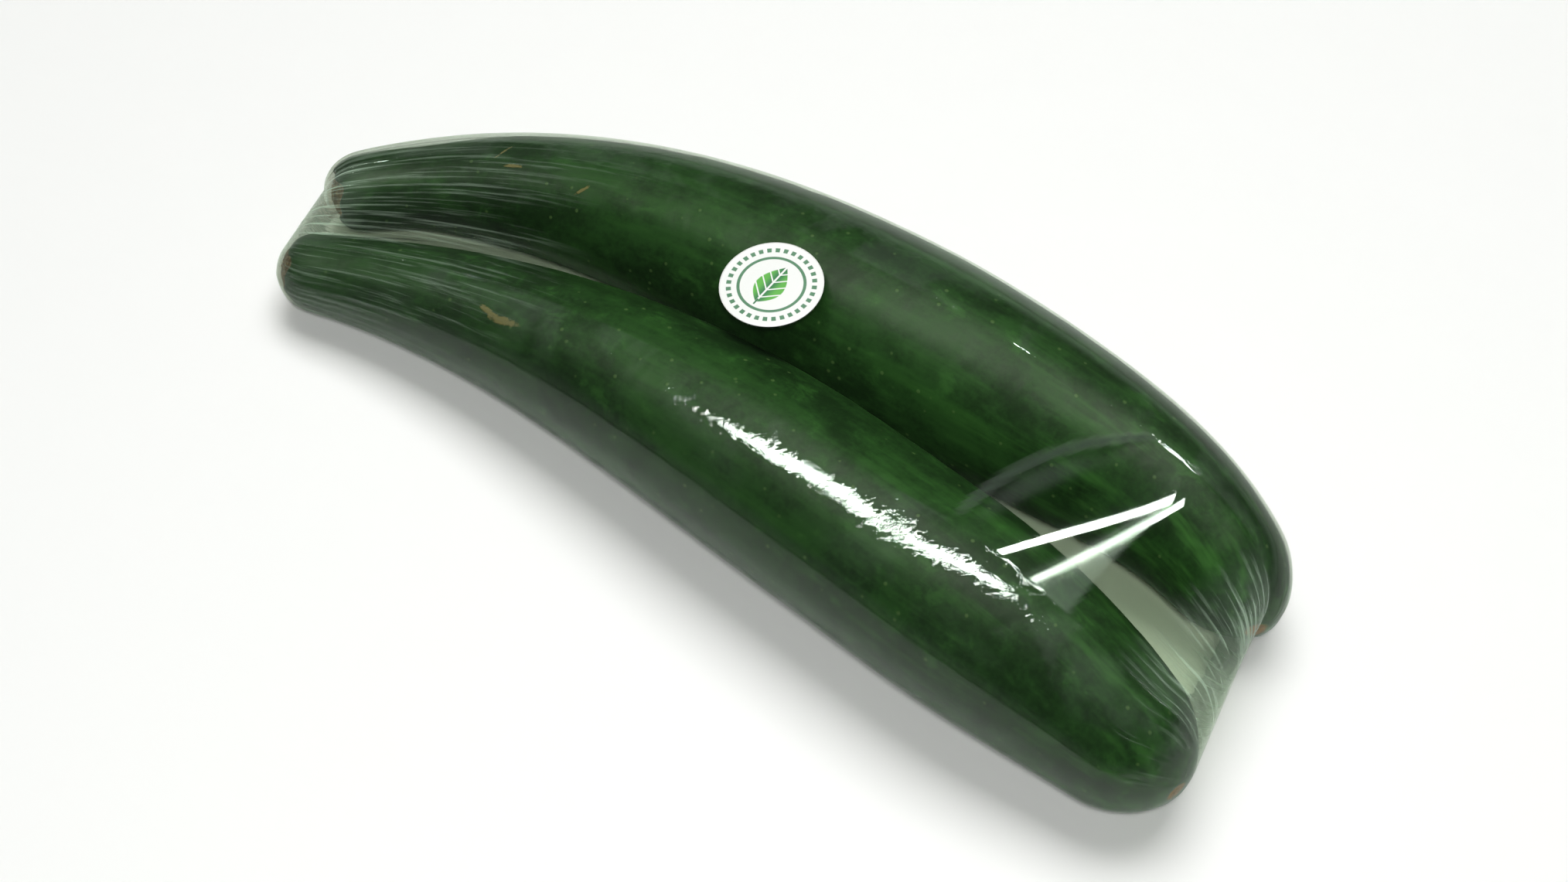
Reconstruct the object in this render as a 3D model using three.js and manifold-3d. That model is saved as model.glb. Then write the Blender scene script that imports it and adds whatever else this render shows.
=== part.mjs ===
// Two cucumbers held side by side by one tight clear film, with a round label lying on the film.
//
// Millimetres, +Z up. +X runs from the stem ends to the blossom ends, and +Y from the front cucumber
// to the back one. The origin is under the middle of the pack, on the surface that it rests on.
import * as THREE from "three";
import { ConvexGeometry } from "three/addons/geometries/ConvexGeometry.js";
import { mergeVertices } from "three/addons/utils/BufferGeometryUtils.js";
import Module from "manifold-3d";

const wasm = await Module();
wasm.setup();

// ---- Driving dimensions, in millimetres and degrees; a cucumber's lengths run along its axis ----

const FRONT = {
  length: 270.5,
  diameter: 49,
  neckDiameter: 19, // where the stem was cut
  neckRun: 164, // from the stem end to the full diameter
  tipDiameter: 29.5, // where the flower was
  tipRun: 75, // from the full diameter to the blossom end
  stemCap: 9, // length of the rounding of the stem end
  tipCap: 16, // length of the rounding of the blossom end
  yaw: -7, // direction of the middle stretch, turned from +X towards +Y
  stemHook: 28, // how far the stem end bends aside
  stemHookRun: 180, // length of that bend
  tipHook: 12, // how far the blossom end bends aside
  tipHookRun: 50, // length of that bend
};
const BACK = {
  length: 279.5,
  diameter: 49,
  neckDiameter: 19.5,
  neckRun: 171,
  tipDiameter: 26,
  tipRun: 115,
  stemCap: 9,
  tipCap: 17,
  yaw: -1,
  stemHook: 46,
  stemHookRun: 156,
  tipHook: 45,
  tipHookRun: 73,
};
const NECK_GROWTH = 1.3; // above 1 the neck stays slim for longer before it widens
const END_LIFT = 0.15; // how much of a thin end's missing radius is clearance under it
const STAGGER = -6; // the back cucumber's middle against the front one's, along X
const TOUCH_GAP = 0.6; // between the two skins where they come closest
const FILM = {
  thickness: 0.4,
  gap: 0.3, // to the skins
  restTrim: 0.15, // taken off the underside, which leaves it a flat to stand on
  slotLength: 90, // open stretch of the lap seam, on the underside between the cucumbers
  slotWidth: 1.2,
  slotX: -45, // middle of the slot, from the front cucumber's middle
};
const LABEL = {
  diameter: 25.5,
  thickness: 0.3,
  gap: 0.3, // to the film
  x: -4, // from the back cucumber's middle
  y: -18,
};
const SIDES = 20; // around a cucumber
const STATION_STEP = 9; // between rings on a cucumber's body
const CAP_RINGS = 4; // rings over the rounding of an end
const LABEL_SIDES = 32;
const BALLS = 121; // along each cucumber, where the two are laid together

// ---- A cucumber's axis and radius ----

const UP = new THREE.Vector3(0, 0, 1);
const ease = (share) => Math.sin((Math.PI / 2) * THREE.MathUtils.clamp(share, 0, 1));
const bend = (share) => THREE.MathUtils.clamp(1 - share, 0, 1) ** 2;

// The radius without the rounding of the ends, at a distance along the axis.
function bodyRadius(c, along) {
  const neck = ((c.diameter - c.neckDiameter) / 2) * (1 - ease(along / c.neckRun) ** NECK_GROWTH);
  const tip = ((c.diameter - c.tipDiameter) / 2) * (1 - ease((c.length - along) / c.tipRun));
  return c.diameter / 2 - neck - tip;
}

// The direction of the axis, in radians from +X towards +Y.
function heading(c, along) {
  const stem = c.stemHook * bend(along / c.stemHookRun);
  const tip = c.tipHook * bend((c.length - along) / c.tipHookRun);
  return THREE.MathUtils.degToRad(c.yaw + stem - tip);
}

// The point of the axis at a distance along it: the middle is at x, y, and the underside rests at 0.
function axisPoint(c, along) {
  const steps = 48;
  const middle = c.length / 2;
  const step = (along - middle) / steps;
  const point = new THREE.Vector3(c.x, c.y, 0);
  for (let i = 0; i < steps; i++) {
    const turn = heading(c, middle + (i + 0.5) * step);
    point.x += step * Math.cos(turn);
    point.y += step * Math.sin(turn);
  }
  const inside = THREE.MathUtils.clamp(along, 0, c.length);
  point.z = THREE.MathUtils.lerp(bodyRadius(c, inside), c.diameter / 2, END_LIFT);
  return point;
}

// The outline from the stem end's pole to the blossom end's, as radius and distance along the axis,
// moved outwards by a margin.
function outline(c, margin) {
  const points = [];
  const add = (along, roundness, outward) =>
    points.push(
      new THREE.Vector2(
        bodyRadius(c, along) * roundness + margin * roundness,
        along + margin * outward,
      ),
    );
  for (let i = 0; i < CAP_RINGS; i++) {
    const angle = ((Math.PI / 2) * i) / CAP_RINGS;
    add(c.stemCap * (1 - Math.cos(angle)), Math.sin(angle), -Math.cos(angle));
  }
  const straight = c.length - c.stemCap - c.tipCap;
  const stations = Math.round(straight / STATION_STEP);
  for (let i = 0; i <= stations; i++) add(c.stemCap + (straight * i) / stations, 1, 0);
  for (let i = CAP_RINGS - 1; i >= 0; i--) {
    const angle = ((Math.PI / 2) * i) / CAP_RINGS;
    add(c.length - c.tipCap * (1 - Math.cos(angle)), Math.sin(angle), Math.cos(angle));
  }
  return points;
}

// The skin, or a surface outside it by a margin: the outline turned about Y, then laid on the axis.
function skin(c, margin) {
  const geometry = new THREE.LatheGeometry(outline(c, margin), SIDES);
  const position = geometry.getAttribute("position");
  const local = new THREE.Vector3();
  for (let i = 0; i < position.count; i++) {
    local.fromBufferAttribute(position, i);
    const turn = heading(c, THREE.MathUtils.clamp(local.y, 0, c.length));
    const side = new THREE.Vector3(Math.sin(turn), -Math.cos(turn), 0);
    const point = axisPoint(c, local.y).addScaledVector(side, local.x).addScaledVector(UP, local.z);
    position.setXYZ(i, point.x, point.y, point.z);
  }
  return geometry;
}

// The least gap between two rows of balls, with the back row moved by y.
function skinGap(frontBalls, backBalls, y) {
  let least = Infinity;
  for (const a of frontBalls)
    for (const b of backBalls) {
      const gap = Math.hypot(a.x - b.x, a.y - b.y - y, a.z - b.z) - a.radius - b.radius;
      least = Math.min(least, gap);
    }
  return least;
}

// Balls on a cucumber's axis, each as large as fits inside its outline.
function ballsInside(c) {
  const outlineAt = Array.from({ length: BALLS }, (_, i) => {
    const along = (c.length * i) / (BALLS - 1);
    const rounding = Math.min(along / c.stemCap, (c.length - along) / c.tipCap, 1);
    return { along, radius: bodyRadius(c, along) * Math.sqrt(rounding * (2 - rounding)) };
  });
  return outlineAt.map(({ along }) => {
    const reach = outlineAt.map((other) => Math.hypot(other.along - along, other.radius));
    return Object.assign(axisPoint(c, along), { radius: Math.min(...reach) });
  });
}

// The y that lets the back cucumber lie against the front one with TOUCH_GAP between their skins.
function backPlace(front, back) {
  const frontBalls = ballsInside(front);
  const backBalls = ballsInside(back);
  let near = 0;
  let far = front.diameter + back.diameter;
  while (far - near > 1e-4) {
    const y = (near + far) / 2;
    if (skinGap(frontBalls, backBalls, y) > TOUCH_GAP) far = y;
    else near = y;
  }
  return far;
}

// ---- Solids ----

// A closed three.js geometry as a solid that can be joined and cut.
function solid(geometry) {
  const bare = geometry.clone().deleteAttribute("normal").deleteAttribute("uv");
  const merged = mergeVertices(bare, 1e-4);
  const mesh = new wasm.Mesh({
    numProp: 3,
    vertProperties: merged.getAttribute("position").array,
    triVerts: new Uint32Array(merged.index.array),
  });
  return new wasm.Manifold(mesh);
}

function geometryOf(made) {
  const { vertProperties, triVerts } = made.getMesh();
  const geometry = new THREE.BufferGeometry();
  geometry.setAttribute("position", new THREE.BufferAttribute(vertProperties, 3));
  geometry.setIndex(new THREE.BufferAttribute(triVerts, 1));
  geometry.computeVertexNormals();
  return geometry;
}

// The tight wrap around both cucumbers: the least convex solid that holds their skins and a margin.
function wrapped(front, back, margin) {
  const points = [];
  for (const c of [front, back]) {
    const position = skin(c, margin).getAttribute("position");
    for (let i = 0; i < position.count; i++)
      points.push(new THREE.Vector3().fromBufferAttribute(position, i));
  }
  return solid(new ConvexGeometry(points));
}

// The film: a thin shell with an open stretch of its lap seam, and a flat on its underside.
function film(front, back) {
  const outer = FILM.gap + FILM.thickness;
  const slot = new THREE.BoxGeometry(FILM.slotLength, FILM.slotWidth, 4 * outer);
  slot.translate(front.x + FILM.slotX, (front.y + back.y) / 2, -outer);
  const floor = new THREE.BoxGeometry(2 * front.length, 2 * front.length, 2);
  floor.translate(front.x, front.y, FILM.restTrim - outer - 1);
  return wrapped(front, back, outer)
    .subtract(wrapped(front, back, FILM.gap))
    .subtract(solid(slot))
    .subtract(solid(floor));
}

// The label: a disc that follows the top of the film.
function label(front, back) {
  const under = FILM.gap + FILM.thickness + LABEL.gap;
  const punch = new THREE.CylinderGeometry(LABEL.diameter / 2, LABEL.diameter / 2, back.diameter, LABEL_SIDES);
  punch.rotateX(Math.PI / 2);
  punch.translate(back.x + LABEL.x, back.y + LABEL.y, back.diameter);
  return wrapped(front, back, under + LABEL.thickness)
    .subtract(wrapped(front, back, under))
    .intersect(solid(punch));
}

// ---- The pack ----

const front = { ...FRONT, x: 0, y: 0 };
const back = { ...BACK, x: STAGGER, y: 0 };
back.y = backPlace(front, back);

const pack = new THREE.Group();
function addPiece(name, geometry, color, roughness, opacity = 1) {
  const material = new THREE.MeshStandardMaterial({ color, roughness, opacity, transparent: opacity < 1 });
  const mesh = new THREE.Mesh(geometry, material);
  mesh.name = name;
  pack.add(mesh);
}
addPiece("cucumber_front", skin(front, 0), 0x2f4f2c, 0.45);
addPiece("cucumber_back", skin(back, 0), 0x33552f, 0.45);
addPiece("wrap_film", geometryOf(film(front, back)), 0xdfe8e0, 0.1, 0.25);
addPiece("label_sticker", geometryOf(label(front, back)), 0xf4f4f0, 0.35);

// The origin goes under the middle of the film's box, on the plane of its flat.
const box = new THREE.Box3().setFromObject(pack);
const middle = box.getCenter(new THREE.Vector3());
for (const mesh of pack.children) mesh.position.set(-middle.x, -middle.y, -box.min.z);

export default pack;
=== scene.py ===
"""Two cucumbers held side by side in one tight clear film, with a round paper label on the film.

Metres, +Z up. +X runs from the stem ends to the blossom ends, +Y from the front cucumber to the back
one, and the pack rests on the floor at Z = 0. Angles are in radians.
"""

import math
from types import SimpleNamespace

import bmesh
import bpy
import numpy as np
from bpy.props import FloatProperty, FloatVectorProperty, PointerProperty
from bpy.types import Operator, Panel, PropertyGroup
from mathutils import Matrix, Vector


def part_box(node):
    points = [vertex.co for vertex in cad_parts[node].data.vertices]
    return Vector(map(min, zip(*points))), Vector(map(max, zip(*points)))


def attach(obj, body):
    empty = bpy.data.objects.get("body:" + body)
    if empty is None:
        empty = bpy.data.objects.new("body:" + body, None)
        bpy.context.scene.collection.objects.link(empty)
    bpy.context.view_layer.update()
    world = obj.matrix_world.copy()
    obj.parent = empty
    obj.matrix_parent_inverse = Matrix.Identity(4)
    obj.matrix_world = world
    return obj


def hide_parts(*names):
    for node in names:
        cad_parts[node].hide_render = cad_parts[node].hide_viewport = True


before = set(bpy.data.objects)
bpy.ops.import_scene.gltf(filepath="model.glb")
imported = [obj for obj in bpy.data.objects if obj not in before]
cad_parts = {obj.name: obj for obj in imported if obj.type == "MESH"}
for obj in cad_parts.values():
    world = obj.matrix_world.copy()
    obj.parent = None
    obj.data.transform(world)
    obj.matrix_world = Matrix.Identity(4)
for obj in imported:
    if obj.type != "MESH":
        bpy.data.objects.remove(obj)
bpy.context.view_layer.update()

bl_info = {
    "name": "Film-Wrapped Cucumber Pair",
    "version": (1, 0, 0),
    "blender": (4, 5, 0),
    "location": "View3D > Sidebar > Cucumber Pack",
    "description": "Builds two cucumbers, the clear film around them and a round label",
    "category": "Add Mesh",
}

MM = 0.001
UP = np.array([0.0, 0.0, 1.0])


# ---- Sizes and colours that a user would change ----


def distance(name, millimetres, description):
    """A length, given in millimetres and kept in metres."""
    return FloatProperty(
        name=name, description=description, default=millimetres * MM, unit="LENGTH", precision=4
    )


def angle(name, degrees, description):
    """An angle, given in degrees and kept in radians."""
    return FloatProperty(
        name=name, description=description, default=math.radians(degrees), subtype="ANGLE"
    )


def colour(name, rgb, description):
    """A linear colour."""
    return FloatVectorProperty(
        name=name, description=description, default=rgb, size=3, min=0, max=1, subtype="COLOR"
    )


CUCUMBER_SIZES = (
    (distance, "length", "Length", "Along the axis, from the stem end to the blossom end"),
    (distance, "diameter", "Diameter", "At the thickest place"),
    (distance, "neck_diameter", "Neck diameter", "At the stem end"),
    (distance, "neck_run", "Neck run", "From the stem end to the full diameter"),
    (distance, "tip_diameter", "Tip diameter", "At the blossom end, before its rounding"),
    (distance, "tip_run", "Tip run", "From the full diameter to the blossom end"),
    (distance, "stem_cap", "Stem cap", "Length of the rounding of the stem end"),
    (distance, "tip_cap", "Tip cap", "Length of the rounding of the blossom end"),
    (angle, "yaw", "Yaw", "Direction of the middle stretch, from +X towards +Y"),
    (angle, "stem_hook", "Stem hook", "How far the stem end bends aside"),
    (distance, "stem_hook_run", "Stem hook run", "Length of the stem end's bend"),
    (angle, "tip_hook", "Tip hook", "How far the blossom end bends aside"),
    (distance, "tip_hook_run", "Tip hook run", "Length of the blossom end's bend"),
)


def cucumber_group(name, text, values):
    """A property group with every size of a cucumber, in millimetres and degrees."""
    fields = {key: kind(label, values[key], about) for kind, key, label, about in CUCUMBER_SIZES}
    return type(name, (PropertyGroup,), {"__doc__": text, "__annotations__": fields})


FrontCucumber = cucumber_group("FrontCucumber", "The cucumber on the -Y side.", {
    "length": 270.5, "diameter": 49, "yaw": -7,
    "neck_diameter": 19, "neck_run": 164, "stem_cap": 9, "stem_hook": 28, "stem_hook_run": 180,
    "tip_diameter": 29.5, "tip_run": 75, "tip_cap": 16, "tip_hook": 12, "tip_hook_run": 50,
})
BackCucumber = cucumber_group("BackCucumber", "The cucumber on the +Y side.", {
    "length": 279.5, "diameter": 49, "yaw": -1,
    "neck_diameter": 19.5, "neck_run": 171, "stem_cap": 9, "stem_hook": 46, "stem_hook_run": 156,
    "tip_diameter": 26, "tip_run": 115, "tip_cap": 17, "tip_hook": 45, "tip_hook_run": 73,
})


class SkinFinish(PropertyGroup):
    """The colours of the skins."""

    deep: colour("Deep green", (0.0085, 0.031, 0.0065), "Darkest mottling")
    middle: colour("Middle green", (0.0205, 0.072, 0.0150), "Most of the skin")
    fresh: colour("Fresh green", (0.050, 0.165, 0.032), "Lightest mottling and streaks")
    scar: colour("Scar", (0.26, 0.21, 0.085), "Healed scratches and specks")
    cork: colour("Cork", (0.13, 0.070, 0.028), "Where the stem was cut")


class Film(PropertyGroup):
    """The clear film."""

    margin: distance("Margin", 0.45, "From the skins' outline to the film")
    crease_height: distance("Crease height", 0.16, "Tallest crease of the gathered ends")
    tint: colour("Tint", (0.85, 0.89, 0.81), "Light through the film")
    # Also the colour of the painted reflection on the top bridge.
    crease_colour: colour("Crease colour", (0.46, 0.64, 0.46), "Pale folds of the film")


class Label(PropertyGroup):
    """The round paper label."""

    diameter: distance("Diameter", 25.5, "Across the label")
    thickness: distance("Thickness", 0.14, "Of the paper")
    paper: colour("Paper", (0.86, 0.87, 0.84), "The paper")
    ink: colour("Ink", (0.018, 0.17, 0.055), "The ring, the dots and the leaf")


class Stage(PropertyGroup):
    """The camera, the lights and the floor."""

    azimuth: angle("Azimuth", 33, "Camera's direction, turned from -Y towards +X")
    elevation: angle("Elevation", 58, "Camera's height above the horizon")
    camera_distance: distance("Camera distance", 700, "From the camera to its target")
    lens: FloatProperty(name="Lens", description="Focal length in mm", default=65.86)
    floor_colour: colour("Floor", (0.93, 0.93, 0.915), "The floor")


class CucumberPack(PropertyGroup):
    """All the settings of the pack."""

    front: PointerProperty(type=FrontCucumber)
    back: PointerProperty(type=BackCucumber)
    skin: PointerProperty(type=SkinFinish)
    film: PointerProperty(type=Film)
    label: PointerProperty(type=Label)
    stage: PointerProperty(type=Stage)


# ---- Shader expressions ----


class Value:
    """An output socket whose arithmetic adds Math nodes, so that a formula reads as it is written."""

    def __init__(self, graph, socket):
        self.graph = graph
        self.socket = socket

    def math(self, operation, *values):
        return self.graph.node("ShaderNodeMath", {"operation": operation}, dict(enumerate(values)))

    def __add__(self, other):
        return self.math("ADD", self, other)

    def __sub__(self, other):
        return self.math("SUBTRACT", self, other)

    def __rsub__(self, other):
        return self.math("SUBTRACT", other, self)

    def __mul__(self, other):
        return self.math("MULTIPLY", self, other)

    def __truediv__(self, other):
        return self.math("DIVIDE", self, other)

    def __pow__(self, other):
        return self.math("POWER", self, other)

    __radd__ = __add__
    __rmul__ = __mul__

    def clamp(self):
        return self.graph.node("ShaderNodeClamp", inputs={0: self})

    def step(self, low, high):
        """0 below low, 1 above high and smooth between; low above high turns it round."""
        settings = {"interpolation_type": "SMOOTHSTEP"}
        return self.graph.node("ShaderNodeMapRange", settings, {0: self, 1: low, 2: high})


class Graph:
    """The nodes of a material or a world."""

    def __init__(self, owner):
        owner.use_nodes = True
        self.tree = owner.node_tree
        self.tree.nodes.clear()

    def node(self, kind, settings=None, inputs=None, output=0):
        """Adds a node: its settings are set first, then its sockets get their values or links."""
        made = self.tree.nodes.new(kind)
        for name, value in (settings or {}).items():
            setattr(made, name, value)
        for name, value in (inputs or {}).items():
            if isinstance(value, Value):
                self.tree.links.new(value.socket, made.inputs[name])
            else:
                made.inputs[name].default_value = value
        return Value(self, made.outputs[output])

    def mix(self, factor, first, second):
        """A colour between two others."""
        colours = {0: factor, 6: opaque(first), 7: opaque(second)}
        return self.node("ShaderNodeMix", {"data_type": "RGBA"}, colours, output=2)

    def attribute(self, name, output="Fac"):
        """A value or a vector kept on the mesh."""
        return self.node("ShaderNodeAttribute", {"attribute_name": name}, output=output)

    def scaled(self, vector, scale):
        """A vector stretched along its own axes."""
        return self.node("ShaderNodeVectorMath", {"operation": "MULTIPLY"}, {0: vector, 1: scale})

    def noise(self, vector, scale, detail=3.0, roughness=0.55, distortion=0.0):
        """Fractal noise, from 0 to 1."""
        inputs = {"Vector": vector, "Scale": scale, "Detail": detail, "Roughness": roughness}
        inputs["Distortion"] = distortion
        return self.node("ShaderNodeTexNoise", inputs=inputs)

    def cells(self, vector, scale):
        """The distance to the nearest of scattered points, and that point's own number from 0 to 1."""
        inputs = {"Vector": vector, "Scale": scale}
        near = self.node("ShaderNodeTexVoronoi", {"feature": "F1"}, inputs)
        which = Value(self, near.socket.node.outputs["Color"])
        return near, self.node("ShaderNodeSeparateColor", inputs={0: which})

    def bump(self, height, distance_m, strength=1.0):
        """A normal bent by a height; the distance is the height of 1."""
        return self.node(
            "ShaderNodeBump", inputs={"Height": height, "Distance": distance_m, "Strength": strength}
        )

    def principled(self, **inputs):
        """The main shader; a name's underscores stand for spaces."""
        named = {name.replace("_", " "): opaque(value) for name, value in inputs.items()}
        return self.node("ShaderNodeBsdfPrincipled", inputs=named)

    def surface(self, shader, output="ShaderNodeOutputMaterial"):
        end = self.tree.nodes.new(output)
        self.tree.links.new(shader.socket, end.inputs["Surface"])


def opaque(value):
    """A plain colour with its fourth number; anything else as it is."""
    if isinstance(value, Value) or not hasattr(value, "__len__") or len(value) != 3:
        return value
    return (*value, 1.0)


# ---- Meshes ----


def mesh_piece(name, points, faces, material, values=None):
    """A mesh object at the origin. The values are arrays, one number or vector for each vertex."""
    mesh = bpy.data.meshes.new(name)
    mesh.from_pydata(points.tolist(), [], faces)
    for key, array in (values or {}).items():
        kind, slot = ("FLOAT", "value") if array.ndim == 1 else ("FLOAT_VECTOR", "vector")
        layer = mesh.attributes.new(key, kind, "POINT")
        layer.data.foreach_set(slot, np.ascontiguousarray(array, dtype=np.float32).ravel())
    mesh.polygons.foreach_set("use_smooth", np.ones(len(mesh.polygons), dtype=bool))
    mesh.materials.append(material)
    mesh.update()
    piece = bpy.data.objects.new(name, mesh)
    bpy.context.scene.collection.objects.link(piece)
    return piece


def grid_faces(rows, columns, closed=True):
    """The quads of a grid: vertex (i, j) is number i * columns + j, and j wraps when closed."""
    i, j = np.meshgrid(np.arange(rows - 1), np.arange(columns if closed else columns - 1), indexing="ij")
    after = (j + 1) % columns
    quads = np.stack(
        [i * columns + j, (i + 1) * columns + j, (i + 1) * columns + after, i * columns + after], -1
    )
    return quads.reshape(-1, 4).tolist()


def pole_faces(ring_start, columns, pole, forward):
    """The triangles between a ring of vertices and one pole."""
    j = np.arange(columns)
    ring, after = ring_start + j, ring_start + (j + 1) % columns
    middle = np.full(columns, pole)
    return np.stack([middle, ring, after] if forward else [middle, after, ring], -1).tolist()


def smooth(array, axis, passes):
    """Each value with a quarter of each neighbour along an axis, repeated; the two ends stay."""
    array = np.moveaxis(array.copy(), axis, 0)
    for _ in range(passes):
        array[1:-1] = 0.25 * array[:-2] + 0.5 * array[1:-1] + 0.25 * array[2:]
    return np.moveaxis(array, 0, axis)


def hump(value, centre, width):
    """A bell of height 1."""
    return np.exp(-(((value - centre) / width) ** 2))


def rise(value, low, high):
    """0 below low, 1 above high, and smooth between."""
    share = np.clip((value - low) / (high - low), 0, 1)
    return share * share * (3 - 2 * share)


def window(value, shut, full, fading, gone):
    """0 up to the first value, 1 from the second to the third, 0 from the fourth, and smooth between."""
    return rise(value, shut, full) * (1 - rise(value, fading, gone))


def waves(seed, count, along, turn, longest, most_turns):
    """A low even roughness: sine waves of seeded lengths along and whole turns around, from -1 to 1."""
    draw = np.random.default_rng(seed)
    length = draw.uniform(longest / 6, longest, count)
    turns = draw.integers(0, most_turns + 1, count)
    phase = draw.uniform(0, 2 * np.pi, (2, count))
    total = 0
    for k in range(count):
        lengthwise = np.sin(2 * np.pi * along / length[k] + phase[0, k])
        total = total + lengthwise * np.cos(turns[k] * turn + phase[1, k])
    return total / math.sqrt(count) / 1.4


# ---- The cucumbers' shape ----

SKIN_SIDES = 168
CAP_RINGS = 26
BODY_RINGS = 380
END_LIFT = 0.15  # how much of a thin end's missing radius is clearance under it
NECK_GROWTH = 1.3  # above 1 the neck stays slim for longer before it widens
SKIN_INSET = 0.3 * MM  # the skin's mean surface under the outline, which leaves room for its relief
BALLS = 520


def ease(share):
    """A quarter of a sine wave, from 0 at 0 to 1 at 1."""
    return np.sin(np.pi / 2 * np.clip(share, 0, 1))


def bend(share):
    """The rest of the way to 1, squared."""
    return np.clip(1 - share, 0, 1) ** 2


class Cucumber:
    """One cucumber's axis and radius.

    Radius at a distance along = half the diameter, less the neck's share, which eases out over the neck
    run, less the tip's share, which eases in over the tip run. Heading = yaw + stem hook * bend(distance
    from the stem end / its run) - tip hook * bend(distance from the blossom end / its run). The axis is
    the heading added up, with its height so that a thin end is lifted by a small part of what it lacks.
    """

    def __init__(self, sizes, node):
        self.sizes = sizes
        self.length = sizes.length
        fine = np.linspace(-0.08, sizes.length + 0.08, 4001)
        heading = self.heading(fine)
        step = fine[1] - fine[0]
        self.fine = fine
        self.plan = []
        for part in (np.cos(heading), np.sin(heading)):
            total = np.concatenate([[0], np.cumsum((part[1:] + part[:-1]) / 2 * step)])
            self.plan.append(total - np.interp(sizes.length / 2, fine, total))
        self.shift = np.zeros(3)
        skin = self.rings(0)
        low, high = (np.array(corner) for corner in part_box(node))
        points = skin.reshape(-1, 3)
        self.shift = (low + high) / 2 - (points.min(0) + points.max(0)) / 2

    def radius(self, along):
        s = self.sizes
        neck = (s.diameter - s.neck_diameter) / 2 * (1 - ease(along / s.neck_run) ** NECK_GROWTH)
        tip = (s.diameter - s.tip_diameter) / 2 * (1 - ease((s.length - along) / s.tip_run))
        return s.diameter / 2 - neck - tip

    def heading(self, along):
        s = self.sizes
        stem = s.stem_hook * bend(along / s.stem_hook_run)
        tip = s.tip_hook * bend((s.length - along) / s.tip_hook_run)
        return s.yaw + stem - tip

    def axis(self, along):
        inside = np.clip(along, 0, self.length)
        height = END_LIFT * self.sizes.diameter / 2 + (1 - END_LIFT) * self.radius(inside)
        x, y = (np.interp(along, self.fine, track) for track in self.plan)
        return np.stack([x, y, height], -1) + self.shift

    def place(self, along, sideways, upwards):
        """The point at a distance along the axis, sideways to the cucumber's -Y side, and upwards."""
        turn = self.heading(np.clip(along, 0, self.length))
        side = np.stack([np.sin(turn), -np.cos(turn), 0 * turn], -1)
        return self.axis(along) + side * sideways[..., None] + UP * upwards[..., None]

    def outline(self):
        """Distance along and roundness of each ring: a quarter of an ellipse at each end."""
        s = self.sizes
        turn = np.linspace(0, np.pi / 2, CAP_RINGS + 1)[1:]
        stem = s.stem_cap * (1 - np.cos(turn))
        tip = s.length - s.tip_cap * (1 - np.cos(turn))
        body = np.linspace(s.stem_cap, s.length - s.tip_cap, BODY_RINGS + 2)[1:-1]
        along = np.concatenate([stem, body, tip[::-1]])
        roundness = np.concatenate([np.sin(turn), np.ones(BODY_RINGS), np.sin(turn)[::-1]])
        return along, roundness

    def rings(self, relief, push=0):
        """The skin's rings: the outline turned about the axis, with its radius changed by the relief."""
        along, roundness = self.outline()
        turn = np.linspace(0, 2 * np.pi, SKIN_SIDES, endpoint=False)
        radius = (self.radius(along) * roundness)[:, None] + relief
        along = along[:, None] + push + 0 * turn
        return self.place(along, radius * np.cos(turn), radius * np.sin(turn))

    def balls(self, margin):
        """Centres on the axis and the radius of the largest ball inside the outline, plus a margin."""
        s = self.sizes
        along = np.linspace(0, s.length, BALLS)
        rounding = np.minimum(np.minimum(along / s.stem_cap, (s.length - along) / s.tip_cap), 1)
        radius = self.radius(along) * np.sqrt(rounding * (2 - rounding))
        reach = np.hypot(along[:, None] - along, radius).min(1)
        return self.axis(along), reach + margin


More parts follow.
